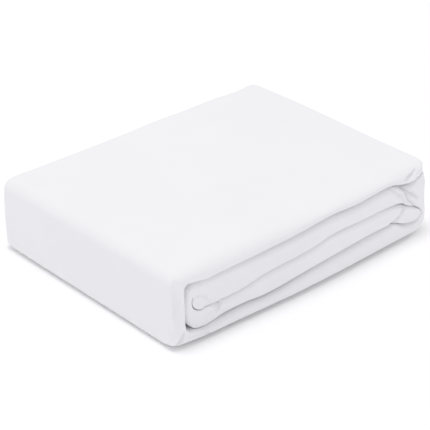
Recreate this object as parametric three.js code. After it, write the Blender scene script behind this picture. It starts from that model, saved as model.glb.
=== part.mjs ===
// Folded mattress protector: one large cloth, folded lengthwise into a long strip of soft plies,
// and the strip then wound flat into a pack. The open end shows the turns of the strip: its free
// end lies on top at the right, the strip runs left along the top, down the left side, right along
// the floor, round the right fold and back left through the middle, folds once more inside the left
// side, and ends in a blunt nose inside the right fold. One spiral slit parts all these turns.
//
// Frame: millimetres, +Z up, the pack lies on the plane Z = 0, X runs along its long side, and the
// open end that shows faces -Y. The origin is the centre of the bottom.

import * as THREE from 'three';
import { LoftGeometry } from 'three/addons/geometries/LoftGeometry.js';

// Driving dimensions
const LENGTH = 350; // folded length, along X
const WIDTH = 267; // folded width, along Y: the width of the strip
const HEIGHT = 83; // folded height, along Z

// Outside of the wound pack, seen on its open end. x is measured from the left side and z from the
// floor. The cloth turns each corner with its radius. The rows run from the free end on top, over
// the left side and the floor, to the shoulder of the right fold under the free end.
const OUTSIDE = [
	{ x: 349.7, z: 71, radius: 5 }, // free end, lower corner
	{ x: LENGTH, z: HEIGHT, radius: 6.5 }, // free end, upper corner
	{ x: 0.6, z: HEIGHT, radius: 12 }, // top left fold
	{ x: 0, z: 0, radius: 8 }, // bottom left fold
	{ x: LENGTH, z: 0, radius: 17 }, // bottom right fold
	{ x: 349.2, z: 69.8, radius: 7 }, // shoulder of the right fold
];

// The spiral slit between the turns, from its mouth under the free end to its inner end. x and z
// are on its middle line, outer and inner are the distances from there to the faces of the turn
// outside it and of the turn inside it.
const UNDER_TOP = [
	{ x: 339, z: 69.6, outer: 0.6, inner: 0.6 },
	{ x: 328, z: 67, outer: 0.6, inner: 0.8 },
	{ x: 317, z: 65.2, outer: 0.8, inner: 1.2 },
	{ x: 304, z: 68.4, outer: 0.6, inner: 1 },
	{ x: 290, z: 73, outer: 0.5, inner: 0.5 },
	{ x: 263, z: 72.6, outer: 0.5, inner: 0.5 },
	{ x: 236, z: 71.2, outer: 0.5, inner: 0.5 },
	{ x: 204, z: 72.2, outer: 0.5, inner: 0.5 },
	{ x: 153, z: 67.2, outer: 0.5, inner: 0.5 },
	{ x: 94, z: 63.4, outer: 0.5, inner: 0.6 },
	{ x: 56, z: 62.4, outer: 0.6, inner: 0.8 },
	{ x: 40, z: 63.4, outer: 1, inner: 1 },
];
const LEFT_GAP = [
	{ x: 30, z: 65.2, outer: 1.9, inner: 1.5 },
	{ x: 24.2, z: 64, outer: 3.7, inner: 2 },
	{ x: 20.6, z: 62.2, outer: 6.6, inner: 2.4 },
	{ x: 18.4, z: 59, outer: 4, inner: 2.2 },
	{ x: 16.8, z: 53, outer: 1.9, inner: 1.5 },
	{ x: 16.3, z: 44, outer: 1.1, inner: 0.9 },
	{ x: 16.4, z: 33, outer: 1, inner: 1 },
	{ x: 17.6, z: 25, outer: 1.6, inner: 1.6 },
	{ x: 21, z: 18.6, outer: 3, inner: 2 },
	{ x: 27.5, z: 13.6, outer: 0.8, inner: 1 },
	{ x: 35, z: 11, outer: 0.6, inner: 0.8 },
];
const ABOVE_FLOOR_TURN = [
	{ x: 43, z: 10.6, outer: 0.6, inner: 0.7 },
	{ x: 53, z: 12.2, outer: 0.5, inner: 0.6 },
	{ x: 67, z: 14.4, outer: 0.5, inner: 0.5 },
	{ x: 94, z: 15.6, outer: 0.5, inner: 0.5 },
	{ x: 118, z: 14.9, outer: 0.5, inner: 0.5 },
	{ x: 179, z: 21.4, outer: 0.5, inner: 0.5 },
	{ x: 244, z: 25.8, outer: 0.5, inner: 0.5 },
	{ x: 299, z: 26, outer: 0.5, inner: 0.5 },
	{ x: 314, z: 21.4, outer: 0.5, inner: 0.6 },
	{ x: 327, z: 18.4, outer: 0.6, inner: 0.6 },
];
const ROUND_NOSE = [
	{ x: 337, z: 19.8, outer: 0.6, inner: 0.6 },
	{ x: 341, z: 24.6, outer: 0.6, inner: 0.6 },
	{ x: 337.6, z: 30.4, outer: 0.6, inner: 0.6 },
];
const THROUGH_MIDDLE = [
	{ x: 321, z: 39.4, outer: 0.6, inner: 0.6 },
	{ x: 307, z: 46, outer: 0.9, inner: 0.6 },
	{ x: 291, z: 49.4, outer: 0.6, inner: 0.5 },
	{ x: 243, z: 48, outer: 0.5, inner: 0.5 },
	{ x: 206, z: 46.8, outer: 0.5, inner: 0.5 },
	{ x: 178, z: 41.6, outer: 0.5, inner: 0.5 },
	{ x: 117, z: 38, outer: 0.5, inner: 0.5 },
	{ x: 88, z: 33.2, outer: 0.5, inner: 0.5 },
	{ x: 56, z: 31.6, outer: 0.6, inner: 0.6 },
];

// The slit ends in a curl round the folded lip of the inner plies: part of an ellipse whose long
// axis leans left. Its angles count from the upper end of that axis.
const CURL = { x: 37.4, z: 40.4, long: 11, short: 9, lean: 40, start: 176, end: - 28 };
const CURL_STEPS = 7;
const CURL_HALF_GAP = 0.5;

// Edges of the strip at the two ends of the pack
const EDGE_ROUND = 6.5; // how far in Y the rounding of an edge reaches
const OUTSIDE_INSET = { low: 3, high: 4.8 }; // how far it draws in the outside, at the floor and on top
const SLIT_INSET = 2.4; // how far it draws in the faces of the slit
const THIN_END = { from: 318, to: 342, low: 58, high: 68, share: 0.5 }; // of that, at the thin free end
const EDGE_STEPS = [ 0, 28, 60, 90 ]; // degrees round the edge
const RINGS = 7; // stretches of the face between the two edges

// How far the inner turns stand back from the open end at the left side, and where that fades
const SET_BACK = { depth: 3.5, from: 30, to: 250, reach: 90 };

// How far each turn bows out of the open end in the middle of its length
const BOW = { top: 4.6, upper: 1.4, lower: 2.8, floor: 5.6, middle: 185, spread: 95, reach: 90 };

// The corners of the free end on top are rounded in plan, the one at the far end less
const FREE_CORNER = { from: 318, depth: 11, farShare: 0.4, low: 58, high: 76, reach: 60 };

// Soft unevenness of the whole pack
const CROWN = { rise: 1.2, edgeShare: 0.4 }; // rise of the top, of which its edges sink a share
const LEFT_SWELL = { out: 3, reach: 0.3, bluntness: 0.6 }; // swell of the left side towards the far end
const RIGHT_WAVE = { out: 1.2, from: 0.75, halfWaves: 2.2 }; // slow wave of the right side along Y

const SPACING = 9; // longest step along the slit
const STRAIGHT_STEP = 27; // longest straight step along the outside
const ARC_STEP = 4; // longest step round a fold

const radians = THREE.MathUtils.degToRad;
const smooth = THREE.MathUtils.smoothstep;

// Rows of the curl, worked out on its ellipse
function curlRows() {
	const lean = radians( CURL.lean );
	const rows = [];
	for ( let k = 0; k <= CURL_STEPS; k ++ ) {
		const turn = radians( THREE.MathUtils.lerp( CURL.start, CURL.end, k / CURL_STEPS ) );
		const up = CURL.long * Math.cos( turn );
		const left = CURL.short * Math.sin( turn );
		rows.push( {
			x: CURL.x - up * Math.sin( lean ) - left * Math.cos( lean ),
			z: CURL.z + up * Math.cos( lean ) - left * Math.sin( lean ),
			outer: CURL_HALF_GAP,
			inner: CURL_HALF_GAP,
		} );
	}
	return rows;
}

// Points round the outside: straight stretches joined by arcs of the corner radii
function outsidePoints( start, end ) {
	const corners = [ start, ...OUTSIDE, end ].map( ( c ) => new THREE.Vector2( c.x, c.z ) );
	const points = [];
	OUTSIDE.forEach( ( { radius }, i ) => {
		const corner = corners[ i + 1 ];
		const before = corners[ i ].clone().sub( corner ).normalize();
		const after = corners[ i + 2 ].clone().sub( corner ).normalize();
		const half = Math.acos( before.dot( after ) ) / 2;
		const reach = radius / Math.tan( half );
		const middle = before.clone().add( after ).normalize();
		const centre = corner.clone().addScaledVector( middle, radius / Math.sin( half ) );
		const first = corner.clone().addScaledVector( before, reach );
		const last = corner.clone().addScaledVector( after, reach );
		if ( points.length ) {
			const from = points[ points.length - 1 ];
			const count = Math.ceil( from.distanceTo( first ) / STRAIGHT_STEP );
			for ( let k = 1; k < count; k ++ ) points.push( from.clone().lerp( first, k / count ) );
		}
		const sweep = Math.PI - 2 * half;
		const steps = Math.max( 3, Math.ceil( radius * sweep / ARC_STEP ) );
		const a = first.clone().sub( centre );
		for ( let k = 0; k <= steps; k ++ ) {
			points.push( a.clone().rotateAround( new THREE.Vector2(), sweep * k / steps ).add( centre ) );
		}
		points[ points.length - 1 ].copy( last );
	} );
	return points;
}

// The two faces of the slit, from the mouth to the inner end, with the bow of the turn of each point
function slitWalls() {
	const parts = [
		{ rows: UNDER_TOP, outerBow: BOW.top, innerBow: BOW.upper },
		{ rows: LEFT_GAP, outerBow: 0, innerBow: 0 },
		{ rows: ABOVE_FLOOR_TURN, outerBow: BOW.floor, innerBow: BOW.lower },
		{ rows: ROUND_NOSE, outerBow: 0, innerBow: BOW.lower },
		{ rows: THROUGH_MIDDLE, outerBow: BOW.upper, innerBow: BOW.lower },
		{ rows: curlRows(), outerBow: 0, innerBow: 0 },
	];
	const rows = parts.flatMap( ( part ) => part.rows );
	const bows = parts.flatMap( ( part ) => part.rows.map( () => part ) );
	const innerTurnStarts = UNDER_TOP.length + LEFT_GAP.length + ABOVE_FLOOR_TURN.length + 1;
	const line = new THREE.CatmullRomCurve3( rows.map( ( r ) => new THREE.Vector3( r.x, 0, r.z ) ) );
	const distances = rows.map( ( r ) => new THREE.Vector3( r.outer, 0, r.inner ) );
	const gaps = new THREE.CatmullRomCurve3( distances );
	const outer = [];
	const inner = [];
	const stretches = rows.length - 1;
	for ( let i = 0; i < stretches; i ++ ) {
		const run = Math.hypot( rows[ i + 1 ].x - rows[ i ].x, rows[ i + 1 ].z - rows[ i ].z );
		const steps = Math.max( 2, Math.ceil( run / SPACING ) );
		for ( let k = 0; k < steps + ( i === stretches - 1 ? 1 : 0 ); k ++ ) {
			const t = ( i + k / steps ) / stretches;
			const p = line.getPoint( t );
			const d = line.getTangent( t );
			const gap = gaps.getPoint( t );
			const insideTurn = i >= innerTurnStarts;
			const { outerBow, innerBow } = bows[ i ];
			outer.push( { x: p.x + d.z * gap.x, z: p.z - d.x * gap.x, insideTurn, bow: outerBow } );
			inner.push( { x: p.x - d.z * gap.z, z: p.z + d.x * gap.z, insideTurn: true, bow: innerBow } );
		}
	}
	return { outer, inner };
}

// The closed outline of the wound strip, anticlockwise on the open end, with the inward direction
// and the edge inset at each point
function stripOutline() {
	const { outer, inner } = slitWalls();
	const round = outsidePoints( outer[ 0 ], inner[ 0 ] );
	const outside = round.map( ( p ) => {
		return { x: p.x, z: p.y, insideTurn: false, bow: p.y > HEIGHT / 2 ? BOW.top : BOW.floor };
	} );
	const outline = [ ...outside, ...inner, ...outer.reverse() ];
	const count = outline.length;
	outline.forEach( ( p, i ) => {
		const before = outline[ ( i + count - 1 ) % count ];
		const after = outline[ ( i + 1 ) % count ];
		const a = new THREE.Vector2( p.x - before.x, p.z - before.z ).normalize();
		const b = new THREE.Vector2( after.x - p.x, after.z - p.z ).normalize();
		const along = a.add( b ).normalize();
		p.inward = new THREE.Vector2( - along.y, along.x );
		const { low, high } = OUTSIDE_INSET;
		const inset = i < outside.length ? THREE.MathUtils.lerp( low, high, p.z / HEIGHT ) : SLIT_INSET;
		const thin = smooth( p.x, THIN_END.from, THIN_END.to ) * smooth( p.z, THIN_END.low, THIN_END.high );
		p.inset = inset * THREE.MathUtils.lerp( 1, THIN_END.share, thin );
	} );
	return outline;
}

// Where a point of the strip comes to lie once the pack has settled. across runs from 0 at the open
// end to 1 at the far end.
function settle( x, z, across ) {
	const along = THREE.MathUtils.clamp( x / LENGTH, 0, 1 );
	const high = THREE.MathUtils.clamp( z / HEIGHT, 0, 1 );
	const middle = Math.sin( Math.PI * along ) * Math.sin( Math.PI * across );
	const crown = CROWN.rise * high * ( middle - CROWN.edgeShare );
	const belly = Math.pow( 4 * high * ( 1 - high ), LEFT_SWELL.bluntness );
	const left = 1 - smooth( along, 0, LEFT_SWELL.reach );
	const swell = LEFT_SWELL.out * belly * left * smooth( across, 0, 1 );
	const right = smooth( along, RIGHT_WAVE.from, 1 );
	const wave = RIGHT_WAVE.out * right * Math.sin( RIGHT_WAVE.halfWaves * Math.PI * across );
	return { x: x - swell - wave, z: z + crown };
}

// How far a point stands back from its end, depth being its distance from there
function standBack( p, depth, farEnd ) {
	const left = 1 - smooth( p.x, SET_BACK.from, SET_BACK.to );
	const turn = p.insideTurn ? SET_BACK.depth * left * ( 1 - smooth( depth, 0, SET_BACK.reach ) ) : 0;
	const right = Math.max( 0, ( p.x - FREE_CORNER.from ) / ( LENGTH - FREE_CORNER.from ) );
	const high = smooth( p.z, FREE_CORNER.low, FREE_CORNER.high );
	const corner = FREE_CORNER.depth * high * right * right * ( 1 - smooth( depth, 0, FREE_CORNER.reach ) );
	if ( farEnd ) return turn + corner * FREE_CORNER.farShare;
	const middle = Math.exp( - Math.pow( ( p.x - BOW.middle ) / BOW.spread, 2 ) );
	return turn + corner - p.bow * middle * ( 1 - smooth( depth, 0, BOW.reach ) );
}

// One ring of the outline, turned by some degrees round the edge and a distance from that end
function ring( outline, turned, depth, farEnd ) {
	const draw = 1 - Math.sin( radians( turned ) );
	return outline.map( ( p ) => {
		const inset = draw * p.inset;
		const from = depth + standBack( p, depth, farEnd );
		const y = farEnd ? WIDTH - from : from;
		const { x, z } = settle( p.x + p.inward.x * inset, p.z + p.inward.y * inset, y / WIDTH );
		return new THREE.Vector3( x, y, Math.max( z, 0 ) );
	} );
}

// The strip, lofted from ring to ring from the far end to the open one
function clothGeometry() {
	const outline = stripOutline();
	const edge = EDGE_STEPS.map( ( turned ) => {
		return { turned, depth: EDGE_ROUND * ( 1 - Math.cos( radians( turned ) ) ) };
	} );
	const rings = edge.map( ( { turned, depth } ) => ring( outline, turned, depth, true ) );
	const flat = WIDTH - 2 * EDGE_ROUND;
	for ( let k = 1; k < RINGS; k ++ ) {
		const depth = EDGE_ROUND + flat * k / RINGS;
		const farHalf = k < RINGS / 2;
		rings.push( ring( outline, 90, farHalf ? depth : WIDTH - depth, farHalf ) );
	}
	edge.reverse().forEach( ( { turned, depth } ) => rings.push( ring( outline, turned, depth, false ) ) );
	const geometry = new LoftGeometry( rings, { closed: true, capStart: true, capEnd: true } );
	geometry.computeBoundingBox();
	const centre = geometry.boundingBox.getCenter( new THREE.Vector3() );
	return geometry.translate( - centre.x, - centre.y, 0 );
}

const cloth = new THREE.Mesh(
	clothGeometry(),
	new THREE.MeshStandardMaterial( { color: 0xf1f0f4, roughness: 0.92, metalness: 0 } ),
);
cloth.name = 'folded_cloth';

const protector = new THREE.Group();
protector.add( cloth );

export default protector;
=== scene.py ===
"""Looks of the folded mattress protector: one soft white cloth, folded into a strip and wound flat."""

import math

import bpy
import numpy as np
from mathutils import Matrix, Vector
from mathutils.geometry import delaunay_2d_cdt


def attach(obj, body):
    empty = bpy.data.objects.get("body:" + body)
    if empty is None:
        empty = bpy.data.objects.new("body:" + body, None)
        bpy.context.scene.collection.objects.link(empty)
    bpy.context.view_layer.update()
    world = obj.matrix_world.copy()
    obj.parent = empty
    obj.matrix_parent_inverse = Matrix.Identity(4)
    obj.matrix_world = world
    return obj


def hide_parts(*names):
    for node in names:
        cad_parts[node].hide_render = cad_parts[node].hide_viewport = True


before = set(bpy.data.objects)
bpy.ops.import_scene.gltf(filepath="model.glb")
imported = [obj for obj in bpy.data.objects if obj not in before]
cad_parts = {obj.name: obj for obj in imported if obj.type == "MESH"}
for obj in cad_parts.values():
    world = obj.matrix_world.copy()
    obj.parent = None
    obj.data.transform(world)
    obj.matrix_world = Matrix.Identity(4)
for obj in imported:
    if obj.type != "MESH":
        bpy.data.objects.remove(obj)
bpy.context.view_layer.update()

MM = 0.001
LENGTH = 350.0  # of the open end, mm, as are all sizes below
WIDTH = 267.0  # from the open end to the far end
HEIGHT = 83.0
CENTRE_X = 174.18  # middle of the pack, from the left side
CENTRE_Y = 130.7  # and from the corners of the open end

# ---------------------------------------------------------------- camera

LOOK_AT = (164.2, 125.6, 35.0)  # mm, from the left side, the open end and the floor
AZIMUTH = -41.94  # degrees
ELEVATION = 29.17
DISTANCE = 1662.7
FOCAL_PIXELS = 1613.4
IMAGE_PIXELS = 430.0
SENSOR = 36.0
CLIP_END = 20.0


def placed(x, y, z):
    """A place measured from the left side, the open end and the floor, in metres about the centre."""
    return Vector(((x - CENTRE_X) * MM, (y - CENTRE_Y) * MM, z * MM))


def make_camera():
    az = math.radians(AZIMUTH)
    el = math.radians(ELEVATION)
    back = Vector((math.sin(az) * math.cos(el), -math.cos(az) * math.cos(el), math.sin(el)))
    right = Vector((math.cos(az), math.sin(az), 0.0))
    up = back.cross(right)
    data = bpy.data.cameras.new("camera")
    data.sensor_width = SENSOR
    data.lens = FOCAL_PIXELS / IMAGE_PIXELS * SENSOR
    data.clip_end = CLIP_END
    camera = bpy.data.objects.new("camera", data)
    turn = Matrix((right, up, back)).transposed().to_4x4()
    camera.matrix_world = Matrix.Translation(placed(*LOOK_AT) + back * DISTANCE * MM) @ turn
    bpy.context.scene.collection.objects.link(camera)
    bpy.context.scene.camera = camera


make_camera()

# ---------------------------------------------------------------- section of the wound strip

# corners of the outside: x, z, radius
OUTSIDE = (
    (349.8, 72.0, 1.8),
    (350.0, 83.0, 6.5),
    (0.6, 83.0, 12.0),
    (0.0, 0.0, 8.0),
    (350.0, 0.0, 17.0),
    (347.8, 71.0, 4.2),
)

# the spiral slit between the turns: x, z, distance to the outer turn, distance to the inner turn
UNDER_TOP = (
    (342.0, 70.8, 0.5, 0.5),
    (334.0, 69.0, 0.7, 0.8),
    (326.0, 66.4, 1.0, 1.2),
    (317.0, 65.6, 2.0, 2.6),
    (307.0, 68.0, 1.6, 2.0),
    (290.0, 73.0, 1.2, 1.5),
    (263.0, 72.4, 1.2, 1.5),
    (236.0, 71.0, 1.4, 1.6),
    (204.0, 72.8, 1.5, 1.8),
    (153.0, 68.6, 1.6, 2.0),
    (94.0, 65.6, 1.6, 2.0),
    (56.0, 64.6, 1.5, 1.9),
    (40.0, 64.2, 1.5, 1.6),
)
LEFT_GAP = (
    (30.0, 65.2, 1.9, 1.5),
    (24.2, 64.0, 3.7, 2.0),
    (20.6, 62.2, 6.6, 2.4),
    (18.4, 59.0, 4.0, 2.2),
    (16.8, 53.0, 1.9, 1.5),
    (16.3, 44.0, 1.1, 0.9),
    (16.4, 33.0, 1.0, 1.0),
    (17.6, 25.0, 1.6, 1.6),
    (21.0, 18.6, 3.0, 2.0),
    (27.5, 13.6, 0.8, 1.0),
    (35.0, 11.0, 0.6, 0.8),
)
ABOVE_FLOOR_TURN = (
    (43.0, 10.6, 0.7, 0.8),
    (53.0, 12.2, 0.7, 0.8),
    (67.0, 14.4, 1.1, 1.1),
    (94.0, 15.6, 1.1, 1.1),
    (118.0, 14.9, 1.1, 1.1),
    (179.0, 22.2, 1.1, 1.1),
    (244.0, 27.0, 1.1, 1.1),
    (299.0, 27.0, 0.6, 0.6),
    (314.0, 21.4, 0.5, 0.6),
    (327.0, 18.4, 0.5, 0.6),
)
ROUND_NOSE = (
    (337.0, 19.8, 0.6, 0.6),
    (341.0, 24.6, 0.6, 0.6),
    (337.6, 30.4, 0.6, 0.6),
)
THROUGH_MIDDLE = (
    (321.0, 39.4, 0.5, 0.5),
    (307.0, 46.2, 1.4, 0.8),
    (291.0, 49.4, 0.6, 0.5),
    (243.0, 50.4, 0.5, 0.5),
    (206.0, 50.6, 0.5, 0.5),
    (178.0, 45.4, 0.5, 0.5),
    (117.0, 39.2, 0.5, 0.5),
    (88.0, 33.2, 0.5, 0.5),
    (56.0, 31.6, 0.6, 0.6),
)
# the inner end of the slit: part of an oval ring
CURL_CENTRE = (37.4, 40.4)
CURL_LONG = 11.0  # half axes
CURL_SHORT = 9.0
CURL_LEAN = 40.0  # degrees, of the long axis to the left
CURL_START = 176.0  # degrees round the oval, from the top of the long axis
CURL_END = 12.0
CURL_STEPS = 7
CURL_HALF_GAP = 0.8
NARROWEST = 0.6  # gaps up to this are pressed nearly shut
PRESSED_SHARE = 0.4

# how an edge rounds over at the ends of the pack: how far it draws in, and how far in Y it reaches
EDGE_TOP = (13.0, 13.5)
EDGE_LEFT = (7.5, 8.5)
EDGE_FLOOR = (1.6, 2.4)
EDGE_RIGHT = (6.0, 8.0)
EDGE_LIP = (0.7, 1.0)  # a turn that hangs over a slit
EDGE_SHOULDER = (8.0, 9.0)  # a turn that lies under a slit
EDGE_FLOOR_TURN = (12.0, 13.0)  # the same for the turn on the floor
EDGE_NOSE = (3.0, 3.2)  # the blunt end inside the right fold
EDGE_LEFT_LIP = (2.4, 3.2)  # the left side where it faces the gap
EDGE_CURL = (1.0, 1.1)
DEEPEST_EDGE = 14.0  # the plain rings start beyond every edge
KEPT_THICKNESS = 2.6  # of cloth between two edges that draw in towards each other
SHOULDER_FACING = (0.5, -0.9)  # the inward direction, x and z, of an edge that is all shoulder
SHOULDER_BLEND = (-0.7, 0.7)  # from all lip to all shoulder
LEVEL_FACE = 0.5  # an outside face whose inward direction is steeper than this lies on top or below
EDGE_SMOOTHINGS = 24
# an edge can draw in as far as the bend of its own fold lets it
SAME_FOLD = 32.0  # outline points within this run, mm, belong to the same fold
BEND_STEP = 0.5
BEND_LIMIT = 16.0
BEND_SLACK = (0.94, 0.1)
BEND_SHARE = 0.8
FAR_AWAY = 99.0
# the free end is thin, so the edges round it draw in less
THIN_END = {"x": (318.0, 342.0), "z": (62.0, 74.0), "share": 0.35}

# how far each turn stands out of the open end, mm: along its whole length, and more in its middle
STAND_OUT = {"top": (0.0, 3.4), "upper": (0.0, 3.2), "lower": (0.0, 3.4), "nose": (0.0, 3.4), "floor": (1.5, 4.5)}
WHOLE_LENGTH = (6.0, 40.0, 300.0, 345.0)  # x where it starts, is full, starts to end, and ends
STAND_OUT_MIDDLE = 185.0
STAND_OUT_SPREAD = 95.0
FLOOR_LIP_LIFT = 5.0  # how far the lower edge of the open end is off the floor
FLOOR_LIP_REACH = 20.0

# the inner turns stand back from both ends on the left: how far, x where it fades, and its reach in Y
SET_BACK = 5.0
SET_BACK_FROM = 30.0
SET_BACK_TO = 250.0
SET_BACK_REACH = 90.0

# the free end's corner is rounded in plan: from x to the right side, from low to high, and its reach in Y
CORNER_FROM = 326.0
CORNER_DEPTH = 14.5
CORNER_FULLNESS = 0.98  # a little short of a quarter circle
CORNER_LOW = 58.0
CORNER_HIGH = 76.0
CORNER_REACH = 60.0
FAR_CORNER_SHARE = 0.4

# the settled pack: the crown of its top, the swell of its left side and the wave of its right side
CROWN = 1.2
CROWN_EDGE_SHARE = 0.4
SWELL = 3.0
SWELL_REACH = 0.3
SWELL_BLUNTNESS = 0.6
WAVE = 1.2
WAVE_FROM = 0.75
WAVE_HALF_WAVES = 2.2

# spacing of the mesh, mm
SLIT_SPACING = 2.4
OUTSIDE_SPACING = 3.0
ARC_SPACING = 1.6
NEAR_GRID = 1.35
FAR_GRID = 3.0
GRID_ROW_SHARE = 0.866  # rows stand this share of the grid's pitch apart
GRID_KEPT_OFF = 0.55  # share of the pitch that the grid stays away from the outline
CDT_TOLERANCE = 1e-5
FIRST_RING_STEP = 2.0
RING_STEP_GROWTH = 1.16
LAST_RING_STEP = 7.5
NEAR_EDGE_STEPS = 10
FAR_EDGE_STEPS = 5
LEAST_SLIT_STEPS = 4
LEAST_ARC_STEPS = 5


def smooth(value, low, high):
    t = np.clip((np.asarray(value, float) - low) / (high - low), 0.0, 1.0)
    return t * t * (3.0 - 2.0 * t)


def curl_rows():
    lean = math.radians(CURL_LEAN)
    rows = []
    for k in range(CURL_STEPS + 1):
        turn = math.radians(CURL_START + (CURL_END - CURL_START) * k / CURL_STEPS)
        up = CURL_LONG * math.cos(turn)
        left = CURL_SHORT * math.sin(turn)
        x = CURL_CENTRE[0] - up * math.sin(lean) - left * math.cos(lean)
        z = CURL_CENTRE[1] + up * math.cos(lean) - left * math.sin(lean)
        rows.append((x, z, CURL_HALF_GAP, CURL_HALF_GAP))
    return tuple(rows)


def pressed(gap):
    """The narrow gaps are pressed together, the wide ones stay open."""
    return gap * (PRESSED_SHARE + (1.0 - PRESSED_SHARE) * smooth(gap, NARROWEST, 2 * NARROWEST))


def turns_beside(row, count):
    """The turns on the two sides of the slit at one of its rows."""
    stages = (
        (len(UNDER_TOP), "top", "upper"),
        (len(LEFT_GAP), "left", "inner"),
        (len(ABOVE_FLOOR_TURN), "floor", "lower"),
        (len(ROUND_NOSE), "right", "nose"),
        (len(THROUGH_MIDDLE), "upper", "lower"),
        (count, "curl", "curl"),
    )
    for size, outer, inner in stages:
        if row < size:
            return outer, inner
        row -= size


def slit_walls():
    """Both walls of the slit, mouth to inner end: rows of x, z, 1 on an inner turn or else 0, and the turn."""
    rows = np.array(UNDER_TOP + LEFT_GAP + ABOVE_FLOOR_TURN + ROUND_NOSE + THROUGH_MIDDLE + curl_rows())
    inner_turn_starts = len(UNDER_TOP) + len(LEFT_GAP) + len(ABOVE_FLOOR_TURN) + 1
    ends = np.vstack((2 * rows[0] - rows[1], rows, 2 * rows[-1] - rows[-2]))
    outer, inner = [], []
    for i in range(len(rows) - 1):
        p0, p1, p2, p3 = ends[i : i + 4]
        d0, d1, d2 = (math.sqrt(math.hypot(*(b - a)[:2])) for a, b in ((p0, p1), (p1, p2), (p2, p3)))
        t1 = ((p1 - p0) / d0 - (p2 - p0) / (d0 + d1) + (p2 - p1) / d1) * d1
        t2 = ((p2 - p1) / d1 - (p3 - p1) / (d1 + d2) + (p3 - p2) / d2) * d1
        run = math.hypot(*(p2 - p1)[:2])
        steps = max(LEAST_SLIT_STEPS, math.ceil(run / SLIT_SPACING))
        last = i == len(rows) - 2
        for k in range(steps + (1 if last else 0)):
            t = k / steps
            c2 = -3 * p1 + 3 * p2 - 2 * t1 - t2
            c3 = 2 * p1 - 2 * p2 + t1 + t2
            x, z, out_gap, in_gap = p1 + t1 * t + c2 * t * t + c3 * t**3
            out_gap, in_gap = pressed(out_gap), pressed(in_gap)
            dx, dz = (t1 + 2 * c2 * t + 3 * c3 * t * t)[:2]
            size = math.hypot(dx, dz)
            dx, dz = dx / size, dz / size
            outer_turn, inner_turn = turns_beside(i, len(rows))
            outer.append((x + dz * out_gap, z - dx * out_gap, 1.0 if i >= inner_turn_starts else 0.0, outer_turn))
            inner.append((x - dz * in_gap, z + dx * in_gap, 1.0, inner_turn))
    return outer, inner


def outside_points(start, end):
    """Points round the outside: straight stretches joined by arcs of the corner radii."""
    corners = [np.array(start[:2])] + [np.array(row[:2]) for row in OUTSIDE] + [np.array(end[:2])]
    points = []
    for i, (_, _, radius) in enumerate(OUTSIDE):
        corner = corners[i + 1]
        before = corners[i] - corner
        before = before / np.hypot(*before)
        after = corners[i + 2] - corner
        after = after / np.hypot(*after)
        half = math.acos(before @ after) / 2
        reach = radius / math.tan(half)
        middle = before + after
        centre = corner + middle / np.hypot(*middle) * radius / math.sin(half)
        first = corner + before * reach
        if points:
            came = points[-1]
            count = math.ceil(np.hypot(*(first - came)) / OUTSIDE_SPACING)
            points += [came + (first - came) * k / count for k in range(1, count)]
        sweep = math.pi - 2 * half
        steps = max(LEAST_ARC_STEPS, math.ceil(radius * sweep / ARC_SPACING))
        a = first - centre
        for k in range(steps + 1):
            c, s = math.cos(sweep * k / steps), math.sin(sweep * k / steps)
            points.append(centre + np.array((a[0] * c - a[1] * s, a[0] * s + a[1] * c)))
    return points


def edge_sizes(inward, xz, turns):
    """How far each outline point draws in at the ends of the pack, and how far that reaches in Y."""
    nx, nz = inward[:, 0], inward[:, 1]
    shares = ((EDGE_TOP, nz < 0, nz), (EDGE_FLOOR, nz > 0, nz), (EDGE_LEFT, nx > 0, nx), (EDGE_RIGHT, nx < 0, nx))
    outside = sum(np.outer(n * n * here, size) for size, here, n in shares)
    under = smooth(SHOULDER_FACING[0] * nx + SHOULDER_FACING[1] * nz, *SHOULDER_BLEND)[:, None]
    shoulder = np.where((turns == "floor")[:, None], np.array(EDGE_FLOOR_TURN), np.array(EDGE_SHOULDER))
    slit = np.array(EDGE_LIP) * (1.0 - under) + shoulder * under
    for turn, size in (("curl", EDGE_CURL), ("nose", EDGE_NOSE), ("left", EDGE_LEFT_LIP)):
        slit = np.where((turns == turn)[:, None], np.array(size), slit)
    sizes = np.where((turns == "outside")[:, None], outside, slit)
    thin = smooth(xz[:, 0], *THIN_END["x"]) * smooth(xz[:, 1], *THIN_END["z"])
    sizes[:, 0] *= 1.0 - (1.0 - THIN_END["share"]) * thin
    return sizes


def free_inset(xz, inward, wanted, lifted):
    """How far each outline point can draw in: by the bend of its own fold, and by the opposite face."""
    steps = np.hypot(*(np.roll(xz, -1, 0) - xz).T)
    run = np.concatenate(((0.0,), np.cumsum(steps)[:-1]))
    apart = np.abs(run[:, None] - run[None])
    own = np.minimum(apart, steps.sum() - apart) < SAME_FOLD
    bend = np.zeros(len(xz))
    still = np.ones(len(xz), bool)
    for d in np.arange(BEND_STEP, BEND_LIMIT, BEND_STEP):
        q = xz + inward * d
        far = np.sqrt(((q[:, None] - xz[None]) ** 2).sum(2))
        still &= np.where(own, far, FAR_AWAY).min(1) > BEND_SLACK[0] * d - BEND_SLACK[1]
        bend = np.where(still, d, bend)
    across = xz[None] - xz[:, None]
    ahead = (across * inward[:, None]).sum(2) > 0.0
    thickness = np.where(ahead & ~own, np.hypot(across[..., 0], across[..., 1]), FAR_AWAY)
    facing = thickness.argmin(1)
    room = np.maximum(0.0, thickness.min(1) - KEPT_THICKNESS)
    shared = room * wanted / (wanted + wanted[facing])
    return np.maximum(0.0, np.minimum(BEND_SHARE * bend, shared - lifted))


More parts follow.
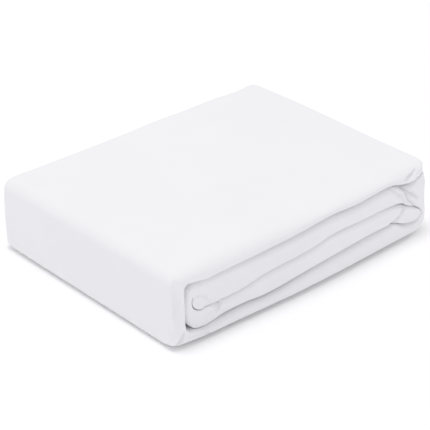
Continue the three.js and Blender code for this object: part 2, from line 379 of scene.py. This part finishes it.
def strip_outline():
    """The closed outline, anticlockwise, with what belongs to each of its points."""
    outer, inner = slit_walls()
    outside = outside_points(outer[0], inner[0])
    rows = [(p[0], p[1], 0.0, "outside") for p in outside] + inner + outer[::-1]
    xz = np.array([row[:2] for row in rows])
    turns = np.array([row[3] for row in rows])
    a = xz - np.roll(xz, 1, 0)
    b = np.roll(xz, -1, 0) - xz
    a /= np.hypot(a[:, 0], a[:, 1])[:, None]
    b /= np.hypot(b[:, 0], b[:, 1])[:, None]
    along = a + b
    along /= np.hypot(along[:, 0], along[:, 1])[:, None]
    inward = np.stack((-along[:, 1], along[:, 0]), 1)
    is_outside = turns == "outside"
    is_low = is_outside & (xz[:, 1] < HEIGHT / 2)
    underside = np.where(is_low, np.maximum(0.0, inward[:, 1]), 0.0)
    lifted = FLOOR_LIP_LIFT * underside
    edge = edge_sizes(inward, xz, turns)
    free = free_inset(xz, inward, edge[:, 0] + lifted, lifted)[:, None]
    edge[:, :1] = np.minimum(edge[:, :1], free)
    for _ in range(EDGE_SMOOTHINGS):
        edge = (np.roll(edge, 1, 0) + 2 * edge + np.roll(edge, -1, 0)) / 4
        edge[:, :1] = np.minimum(edge[:, :1], free)
    turns = np.where(is_outside & (inward[:, 1] < -LEVEL_FACE), "top", turns)
    turns = np.where(is_low & (inward[:, 1] > LEVEL_FACE), "floor", turns)
    return {
        "xz": xz,
        "inward": inward,
        "inset": edge[:, 0],
        "reach": edge[:, 1],
        "inside_turn": np.array([row[2] for row in rows]),
        "out": np.array([STAND_OUT.get(t, (0.0, 0.0)) for t in turns]),
        "underside": underside,
    }


# ---------------------------------------------------------------- soft relief

# creases and ridges of the open end: points x, z; depth in mm (a ridge is negative); half width in mm
END_RELIEF = (
    # hollow of the left side
    (((5.0, 74.0), (5.6, 62.0), (6.0, 46.0), (6.4, 30.0), (7.0, 24.0)), 4.6, 3.2),
    # fold of the lower left corner
    (((14.2, 17.6), (10.4, 11.5), (5.0, 6.0)), 4.4, 1.7),
    # the rest of the curl's ring
    (((30.0, 47.0), (34.1, 47.6), (39.0, 46.2), (45.1, 42.3), (48.4, 38.2), (50.0, 35.4)), 1.8, 1.3),
    # ply edge on the inner turn, with the trough and the short crease beside it
    (((60.8, 32.0), (59.0, 27.2), (55.4, 20.8)), -2.4, 1.4),
    (((63.6, 31.6), (61.6, 26.2), (57.8, 19.6)), 2.4, 1.4),
    (((52.0, 24.0), (44.6, 17.8)), 1.3, 1.3),
    # pleats where the strip rounds the right fold
    (((308.4, 66.0), (323.2, 53.8), (334.8, 44.9)), 5.0, 1.6),
    (((311.4, 66.0), (322.3, 45.9), (332.8, 34.0)), 5.0, 1.6),
    (((297.8, 66.5), (309.3, 55.4), (321.4, 41.0)), 4.0, 2.4),
    # crease by the blunt nose
    (((315.5, 42.0), (308.3, 32.5), (300.9, 29.4), (293.1, 27.4)), 4.4, 1.6),
    # rib of the free end, and the crease above it
    (((342.0, 76.4), (333.4, 71.6), (317.3, 70.0)), -1.8, 1.3),
    (((331.0, 79.0), (324.5, 75.4), (313.7, 72.8)), 3.6, 1.5),
)
RELIEF_FADE = 16.0  # how far in Y the relief of the end reaches
# each line fades towards its ends
TAPER_START = 0.08
TAPER_SPAN = 0.84
TAPER_POWER = 0.6


def distance_to_line(x, z, line):
    """Distance to a run of segments, and where along the run the nearest point lies, 0 to 1."""
    line = np.array(line)
    lengths = np.hypot(*(line[1:] - line[:-1]).T)
    total = lengths.sum()
    best = np.full(x.shape, 1e9)
    where = np.zeros(x.shape)
    done = 0.0
    for a, b, size in zip(line[:-1], line[1:], lengths):
        d = (b - a) / size
        t = np.clip((x - a[0]) * d[0] + (z - a[1]) * d[1], 0.0, size)
        far = np.hypot(x - a[0] - d[0] * t, z - a[1] - d[1] * t)
        near = far < best
        best = np.where(near, far, best)
        where = np.where(near, (done + t) / total, where)
        done += size
    return best, where


def end_relief(x, z):
    """How deep the creases of the open end lie at places on it."""
    out = np.zeros(x.shape)
    for line, deep, wide in END_RELIEF:
        far, where = distance_to_line(x, z, line)
        taper = np.clip(np.sin(math.pi * (TAPER_START + TAPER_SPAN * where)), 0.0, 1.0) ** TAPER_POWER
        out += deep * np.exp(-((far / wide) ** 2)) * taper
    return out


def settle(x, z, across):
    """The crown, the swell and the wave of the settled pack. across is 0 at the open end and 1 at the far end."""
    along = np.clip(x / LENGTH, 0.0, 1.0)
    high = np.clip(z / HEIGHT, 0.0, 1.0)
    middle = np.sin(np.pi * along) * np.sin(np.pi * across)
    crown = CROWN * high * (middle - CROWN_EDGE_SHARE)
    belly = (4.0 * high * (1.0 - high)) ** SWELL_BLUNTNESS
    swell = SWELL * belly * (1.0 - smooth(along, 0.0, SWELL_REACH)) * smooth(across, 0.0, 1.0)
    wave = WAVE * smooth(along, WAVE_FROM, 1.0) * np.sin(WAVE_HALF_WAVES * np.pi * across)
    return x - swell - wave, z + crown


def stand_back(x, z, outline, like, depth, far_end):
    """How far points stand back from their end. like picks the outline point that each one follows."""
    left = 1.0 - smooth(x, SET_BACK_FROM, SET_BACK_TO)
    turn = outline["inside_turn"][like] * SET_BACK * left * (1.0 - smooth(depth, 0.0, SET_BACK_REACH))
    right = np.clip((x - CORNER_FROM) / (LENGTH - CORNER_FROM), 0.0, 1.0)
    high = smooth(z, CORNER_LOW, CORNER_HIGH)
    corner = CORNER_DEPTH * high * (1.0 - np.sqrt(1.0 - CORNER_FULLNESS * right * right))
    corner = corner * (1.0 - smooth(depth, 0.0, CORNER_REACH))
    if far_end:
        return turn + corner * FAR_CORNER_SHARE
    bell = np.exp(-(((x - STAND_OUT_MIDDLE) / STAND_OUT_SPREAD) ** 2))
    whole = smooth(x, *WHOLE_LENGTH[:2]) * (1.0 - smooth(x, *WHOLE_LENGTH[2:]))
    out = outline["out"][like, 0] * whole + outline["out"][like, 1] * bell
    return turn + corner - out * (1.0 - smooth(depth, 0.0, SET_BACK_REACH))


def section_at(outline, draw, depth):
    """The section's points where the edges draw in by a share of their inset, at depths from the end."""
    lift = FLOOR_LIP_LIFT * outline["underside"] * (1.0 - smooth(depth, 0.0, FLOOR_LIP_REACH))
    x = outline["xz"][:, 0] + outline["inward"][:, 0] * outline["inset"] * draw
    z = outline["xz"][:, 1] + outline["inward"][:, 1] * outline["inset"] * draw + lift
    return x, z


def cap_grid(boundary, pitch):
    """Fills a closed outline with a staggered grid. Gives points, the outline's first, and triangles."""
    low, high = boundary.min(0), boundary.max(0)
    rows = np.arange(low[1] + pitch / 2, high[1], pitch * GRID_ROW_SHARE)
    grid = []
    for j, z in enumerate(rows):
        start = low[0] + pitch * (0.5 if j % 2 else 0.0)
        xs = np.arange(start, high[0], pitch)
        grid.append(np.stack((xs, np.full(xs.shape, z)), 1))
    grid = np.concatenate(grid)
    a, b = boundary, np.roll(boundary, -1, 0)
    inside = np.zeros(len(grid), bool)
    nearest = np.full(len(grid), 1e9)
    for (ax, az), (bx, bz) in zip(a, b):
        crosses = (az > grid[:, 1]) != (bz > grid[:, 1])
        if bz != az:
            at = (bx - ax) * (grid[:, 1] - az) / (bz - az) + ax
            inside ^= crosses & (grid[:, 0] < at)
        size = max(1e-9, (bx - ax) ** 2 + (bz - az) ** 2)
        t = np.clip(((grid[:, 0] - ax) * (bx - ax) + (grid[:, 1] - az) * (bz - az)) / size, 0.0, 1.0)
        far = np.hypot(grid[:, 0] - ax - t * (bx - ax), grid[:, 1] - az - t * (bz - az))
        nearest = np.minimum(nearest, far)
    grid = grid[inside & (nearest > pitch * GRID_KEPT_OFF)]
    points = np.concatenate((boundary, grid))
    n = len(boundary)
    edges = [(i, (i + 1) % n) for i in range(n)]
    vectors = [Vector(p) for p in points]
    verts, _, faces, _, _, _ = delaunay_2d_cdt(vectors, edges, [list(range(n))], 1, CDT_TOLERANCE)
    if len(verts) != len(points):
        crossings = [(round(v.x, 1), round(v.y, 1)) for v in verts[len(points) :]]
        raise RuntimeError(f"the outline crosses itself at {crossings}, {len(verts) - len(points)}")
    return points, np.array([list(f) for f in faces])


def nearest_outline(points, boundary):
    """For each point, the outline point that it lies nearest to."""
    out = np.zeros(len(points), int)
    for start in range(0, len(points), 2000):
        block = points[start : start + 2000]
        far = (block[:, None, 0] - boundary[None, :, 0]) ** 2 + (block[:, None, 1] - boundary[None, :, 1]) ** 2
        out[start : start + 2000] = far.argmin(1)
    return out


def stations():
    """The rings from the open end on: shares of the edge's inset and reach, depth beyond it, and far end or not."""
    def edge(steps, far_end):
        turns = [math.radians(90.0 * k / steps) for k in range(steps + 1)]
        return [(1.0 - math.sin(t), 1.0 - math.cos(t), 0.0, far_end) for t in turns]

    rows = edge(NEAR_EDGE_STEPS, False)
    depth, step = DEEPEST_EDGE, FIRST_RING_STEP
    while depth < WIDTH - DEEPEST_EDGE:
        far_end = depth >= WIDTH / 2
        rows.append((0.0, 0.0, WIDTH - depth if far_end else depth, far_end))
        depth += step
        step = min(step * RING_STEP_GROWTH, LAST_RING_STEP)
    return rows + edge(FAR_EDGE_STEPS, True)[::-1]


def cloth_mesh():
    outline = strip_outline()
    n = len(outline["xz"])
    every = np.arange(n)
    rows = stations()
    verts = []
    for draw, reach, beyond, far_end in rows:
        depth = outline["reach"] * reach + beyond
        x, z = section_at(outline, draw, depth)
        back = depth + stand_back(x, z, outline, every, depth, far_end)
        if not far_end:
            back = back + end_relief(x, z) * (1.0 - smooth(depth, 0.0, RELIEF_FADE))
        y = WIDTH - back if far_end else back
        x, z = settle(x, z, y / WIDTH)
        verts.append(np.stack((x, y, np.maximum(z, 0.0)), 1))
    verts = np.concatenate(verts)
    quads = []
    for r in range(len(rows) - 1):
        a = r * n + every
        b = r * n + (every + 1) % n
        quads.append(np.stack((a, a + n, b + n, b), 1))
    quads = np.concatenate(quads)
    tris = []
    for far_end, pitch in ((False, NEAR_GRID), (True, FAR_GRID)):
        boundary = np.stack(section_at(outline, 1.0, np.zeros(n)), 1)
        points, cap = cap_grid(boundary, pitch)
        grid = points[n:]
        like = nearest_outline(grid, boundary)
        back = stand_back(grid[:, 0], grid[:, 1], outline, like, 0.0, far_end)
        if not far_end:
            back = back + end_relief(grid[:, 0], grid[:, 1])
        y = WIDTH - back if far_end else back
        x, z = settle(grid[:, 0], grid[:, 1], y / WIDTH)
        first = (len(rows) - 1) * n if far_end else 0
        index = np.concatenate((first + every, len(verts) + np.arange(len(grid))))
        verts = np.concatenate((verts, np.stack((x, y, np.maximum(z, 0.0)), 1)))
        a, b, c = (points[cap[:, k]] for k in range(3))
        area = (b[:, 0] - a[:, 0]) * (c[:, 1] - a[:, 1]) - (b[:, 1] - a[:, 1]) * (c[:, 0] - a[:, 0])
        cap = np.where((area < 0)[:, None], cap[:, ::-1], cap)
        tris.append(index[cap[:, ::-1] if far_end else cap])
    verts -= np.array((CENTRE_X, CENTRE_Y, 0.0))
    return verts * MM, quads, np.concatenate(tris)


def make_mesh(name, verts, quads, tris):
    mesh = bpy.data.meshes.new(name)
    mesh.from_pydata(verts.tolist(), [], quads.tolist() + tris.tolist())
    mesh.validate()
    mesh.polygons.foreach_set("use_smooth", [True] * len(mesh.polygons))
    piece = bpy.data.objects.new(name, mesh)
    bpy.context.scene.collection.objects.link(piece)
    return piece


# ---------------------------------------------------------------- material

CLOTH_SHADER = {"Roughness": 0.92, "Specular IOR Level": 0.2, "Sheen Weight": 0.18, "Sheen Roughness": 0.5}
CLOTH_TONES = ((0.3, (0.824, 0.822, 0.833, 1.0)), (0.7, (0.839, 0.837, 0.846, 1.0)))  # ramp stops
TONE_NOISE = {"Scale": 9.0, "Detail": 3.0, "Roughness": 0.5}
NAP_NOISE = {"Scale": 900.0, "Detail": 4.0, "Roughness": 0.6}
NAP_BUMP = {"Strength": 0.35, "Distance": 0.0003}
SOFT_NOISE = {"Scale": 22.0, "Detail": 2.0, "Roughness": 0.5}
SOFT_BUMP = {"Strength": 0.25, "Distance": 0.004}
FLOOR_SHADER = {"Base Color": (0.99, 0.99, 0.99, 1.0), "Roughness": 1.0, "Specular IOR Level": 0.0}


def set_inputs(node, values):
    for name, value in values.items():
        node.inputs[name].default_value = value


def set_stops(ramp, stops):
    for element, (position, color) in zip(ramp.color_ramp.elements, stops):
        element.position = position
        element.color = color


def principled_material(name, values):
    material = bpy.data.materials.new(name)
    material.use_nodes = True
    shader = material.node_tree.nodes["Principled BSDF"]
    set_inputs(shader, values)
    return material, shader


def cloth_material():
    """White brushed cotton: a faint change of tone, a fine nap and a slightly uneven face."""
    material, shader = principled_material("brushed_cotton", CLOTH_SHADER)
    nodes, links = material.node_tree.nodes, material.node_tree.links
    place = nodes.new("ShaderNodeTexCoord")

    def noise(values):
        node = nodes.new("ShaderNodeTexNoise")
        set_inputs(node, values)
        links.new(place.outputs["Object"], node.inputs["Vector"])
        return node.outputs["Fac"]

    def bump(values, height):
        node = nodes.new("ShaderNodeBump")
        set_inputs(node, values)
        links.new(noise(height), node.inputs["Height"])
        return node

    tone = nodes.new("ShaderNodeValToRGB")
    set_stops(tone, CLOTH_TONES)
    links.new(noise(TONE_NOISE), tone.inputs["Fac"])
    links.new(tone.outputs["Color"], shader.inputs["Base Color"])
    nap = bump(NAP_BUMP, NAP_NOISE)
    soft = bump(SOFT_BUMP, SOFT_NOISE)
    links.new(nap.outputs["Normal"], soft.inputs["Normal"])
    links.new(soft.outputs["Normal"], shader.inputs["Normal"])
    return material


cloth = make_mesh("protector_cloth", *cloth_mesh())
cloth.data.materials.append(cloth_material())
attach(cloth, "root")
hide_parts("folded_cloth")

# ---------------------------------------------------------------- floor and light

FLOOR_HALF = 3.0
WORLD_TONES = ((0.15, (0.945, 0.935, 1.0, 1.0)), (0.8, (0.76, 0.76, 0.76, 1.0)))  # low down, overhead
WORLD_STRENGTH = 1.0
KEY_PLACE = (-0.3, 0.1, 2.6)
KEY_AIM = (0.0, 0.0, 0.0)
KEY_SIZE = 0.8
KEY_POWER = 18.0


def make_floor():
    mesh = bpy.data.meshes.new("floor")
    corners = [(x * FLOOR_HALF, y * FLOOR_HALF, 0) for x, y in ((-1, -1), (1, -1), (1, 1), (-1, 1))]
    mesh.from_pydata(corners, [], [(0, 1, 2, 3)])
    floor = bpy.data.objects.new("floor", mesh)
    floor.data.materials.append(principled_material("floor_white", FLOOR_SHADER)[0])
    bpy.context.scene.collection.objects.link(floor)


def make_world():
    """A soft studio: brighter low down all round than overhead."""
    world = bpy.data.worlds.new("studio")
    world.use_nodes = True
    nodes, links = world.node_tree.nodes, world.node_tree.links
    place = nodes.new("ShaderNodeTexCoord")
    split = nodes.new("ShaderNodeSeparateXYZ")
    ramp = nodes.new("ShaderNodeValToRGB")
    set_stops(ramp, WORLD_TONES)
    links.new(place.outputs["Generated"], split.inputs[0])
    links.new(split.outputs["Z"], ramp.inputs["Fac"])
    links.new(ramp.outputs["Color"], nodes["Background"].inputs["Color"])
    nodes["Background"].inputs["Strength"].default_value = WORLD_STRENGTH
    bpy.context.scene.world = world


def area_light(name, place, aim, size, power):
    data = bpy.data.lights.new(name, "AREA")
    data.shape = "SQUARE"
    data.size = size
    data.energy = power
    light = bpy.data.objects.new(name, data)
    light.location = place
    light.rotation_euler = (Vector(aim) - Vector(place)).to_track_quat("-Z", "Y").to_euler()
    bpy.context.scene.collection.objects.link(light)


make_floor()
make_world()
area_light("key", KEY_PLACE, KEY_AIM, KEY_SIZE, KEY_POWER)

bpy.context.scene.view_settings.view_transform = "Standard"
